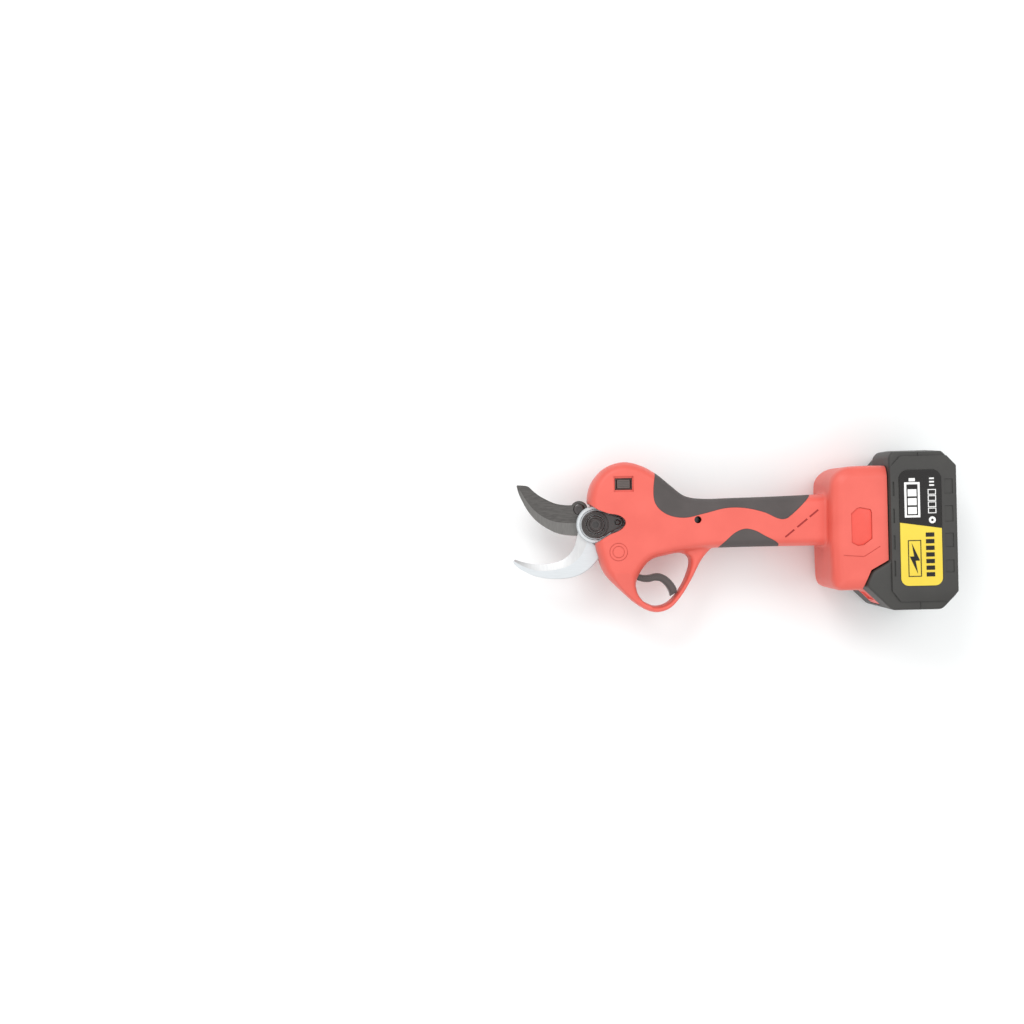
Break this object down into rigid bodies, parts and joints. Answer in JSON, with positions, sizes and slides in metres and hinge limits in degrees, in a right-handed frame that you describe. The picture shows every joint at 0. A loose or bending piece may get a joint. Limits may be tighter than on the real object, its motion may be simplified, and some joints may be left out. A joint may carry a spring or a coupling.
{
  "type": "battery electric pruner",
  "caption": "Cordless bypass pruner for branches: hooked fixed blade, powered moving blade, guarded trigger, padded handle and a slide-in battery.",
  "frame": {"origin": "bottom centre of the bounding box, with the tool lying on its left side", "axes": "+X along the tool from the blades to the battery, +Y to the top of the handle, +Z out of the tool's right side"},
  "size_m": [0.316, 0.1146, 0.076],
  "materials": {
    "red_plastic": "satin moulded red-orange plastic",
    "grip_rubber": "matte moulded grip rubber",
    "black_plastic": "semi-gloss black",
    "battery_plastic": "fine-grained dark grey plastic",
    "dark_steel": "dark coated steel with a ground edge",
    "bright_steel": "polished steel",
    "steel": "machined steel",
    "bronze": "sintered bronze",
    "copper": "copper windings on an iron core",
    "board": "green circuit board",
    "cell_wrap": "shrink-wrapped cell",
    "label": null,
    "white_plastic": "white button"
  },
  "bodies": {
    "tool": {"housing_right": "red_plastic", "housing_left": "red_plastic", "upper_grip_right": "grip_rubber", "upper_grip_left": "grip_rubber", "lower_grip_right": "grip_rubber", "lower_grip_left": "grip_rubber", "case_screw_1": "steel", "case_screw_2": "steel", "case_screw_3": "steel", "fixed_blade": "bright_steel", "blade_bolt": "black_plastic", "lock_plate": "black_plastic", "lock_screw": "steel", "pivot_nut": "steel", "thrust_washer": "bronze", "head_frame": "steel", "output_bearing": "steel", "bearing_plate": "steel", "ring_gear": "steel", "motor_can": "dark_steel", "motor_stator": "copper", "motor_front_cap": "steel", "motor_rear_cap": "steel", "control_board": "board", "motor_driver": "black_plastic", "terminal_block": "black_plastic", "trigger_pin": "steel", "trigger_spring": "steel", "switch_body": "black_plastic"},
    "blade": {"moving_blade": "dark_steel", "sector_gear": "steel", "blade_stud": "dark_steel", "pivot_bush": "bronze"},
    "gear_output": {"planet_carrier": "steel", "output_pinion": "steel"},
    "planet_1": {"planet_gear_1": "bronze"},
    "planet_2": {"planet_gear_2": "bronze"},
    "planet_3": {"planet_gear_3": "bronze"},
    "rotor": {"motor_rotor": "steel", "sun_gear": "steel"},
    "trigger_lever": {"trigger": "black_plastic"},
    "rocker": {"power_rocker": "black_plastic"},
    "battery": {"battery_upper_case": "battery_plastic", "battery_lower_case": "battery_plastic", "battery_plate_right": "battery_plastic", "battery_plate_left": "battery_plastic", "battery_label": "label", "cell_1": "cell_wrap", "cell_2": "cell_wrap", "cell_3": "cell_wrap", "cell_4": "cell_wrap", "cell_5": "cell_wrap", "cell_6": "cell_wrap", "cell_7": "cell_wrap", "cell_8": "cell_wrap", "cell_9": "cell_wrap", "cell_10": "cell_wrap"},
    "release": {"release_button": "red_plastic"},
    "gauge": {"gauge_button": "white_plastic"}
  },
  "joints": [
    {"name": "blade_pivot", "type": "hinge", "parent": "tool", "child": "blade", "pos_m": [-0.0973, 0.0082, 0.038], "axis": [0, 0, 1], "range_deg": [0, 48]},
    {"name": "output_spin", "type": "hinge", "parent": "tool", "child": "gear_output", "pos_m": [-0.069, 0.008, 0.038], "axis": [1, 0, 0], "range_deg": [0, 280]},
    {"name": "rotor_spin", "type": "hinge", "parent": "tool", "child": "rotor", "pos_m": [-0.0536, 0.008, 0.038], "axis": [1, 0, 0], "range_deg": [0, 1110]},
    {"name": "planet_1_spin", "type": "hinge", "parent": "gear_output", "child": "planet_1", "pos_m": [-0.0545, 0.008, 0.0452], "axis": [1, 0, 0], "range_deg": [-830, 0]},
    {"name": "planet_2_spin", "type": "hinge", "parent": "gear_output", "child": "planet_2", "pos_m": [-0.0545, 0.00177, 0.0344], "axis": [1, 0, 0], "range_deg": [-830, 0]},
    {"name": "planet_3_spin", "type": "hinge", "parent": "gear_output", "child": "planet_3", "pos_m": [-0.0545, 0.01423, 0.0344], "axis": [1, 0, 0], "range_deg": [-830, 0]},
    {"name": "trigger_pull", "type": "hinge", "parent": "tool", "child": "trigger_lever", "pos_m": [-0.0735, -0.03, 0.038], "axis": [0, 0, 1], "range_deg": [0, 14], "stiffness_Nm_per_rad": 0.12, "springref_deg": -8.59},
    {"name": "power_rock", "type": "hinge", "parent": "tool", "child": "rocker", "pos_m": [-0.0769, 0.0372, 0.052], "axis": [0, 1, 0], "range_deg": [-8, 8]},
    {"name": "battery_slide", "type": "slide", "parent": "tool", "child": "battery", "axis": [0, -1, 0], "range_m": [0, 0.1]},
    {"name": "release_press", "type": "slide", "parent": "battery", "child": "release", "axis": [0.697, 0.717, 0], "range_m": [0, 0.003], "stiffness_N_per_m": 600, "springref_m": -0.003},
    {"name": "gauge_press", "type": "slide", "parent": "battery", "child": "gauge", "axis": [0, 0, -1], "range_m": [0, 0.0008], "stiffness_N_per_m": 600, "springref_m": -0.001}
  ],
  "couplings": [
    {"joint": "output_spin", "follows": "blade_pivot", "ratio": 5.75},
    {"joint": "rotor_spin", "follows": "blade_pivot", "ratio": 23},
    {"joint": "planet_1_spin", "follows": "blade_pivot", "ratio": -17.25},
    {"joint": "planet_2_spin", "follows": "blade_pivot", "ratio": -17.25},
    {"joint": "planet_3_spin", "follows": "blade_pivot", "ratio": -17.25}
  ]
}
